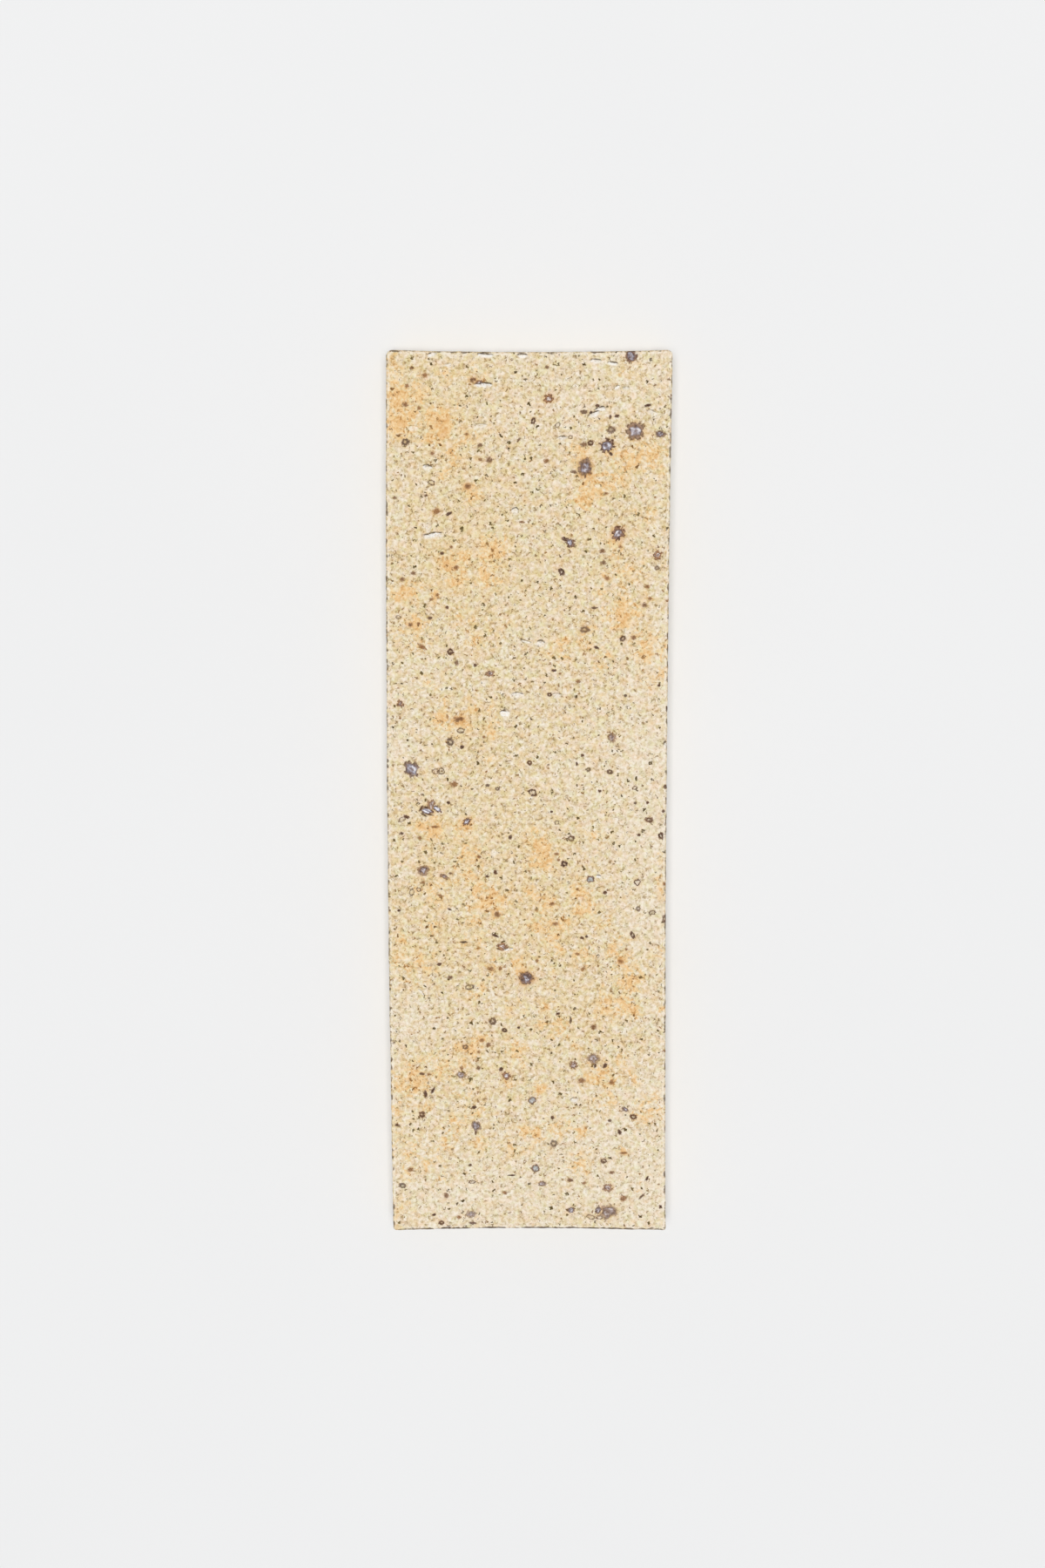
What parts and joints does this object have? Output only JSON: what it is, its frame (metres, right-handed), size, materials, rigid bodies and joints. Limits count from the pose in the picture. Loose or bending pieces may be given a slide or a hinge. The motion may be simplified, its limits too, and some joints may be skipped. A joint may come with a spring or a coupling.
{
  "type": "thin brick tile",
  "caption": "Thin rectangular facing tile of buff iron-spotted stoneware clay, a flat slab with eased corners and edges, for covering a wall in brick courses.",
  "frame": {"origin": "centre of the flat back (bond) face", "axes": "+X across the tile from one long edge to the other, +Y along its length, +Z out of the show face, so that the tile lies on its back"},
  "size_m": [0.0636, 0.2032, 0.0127],
  "materials": {
    "fired_clay": "matte"
  },
  "bodies": {
    "root": {"brick_tile": "fired_clay"}
  },
  "joints": []
}
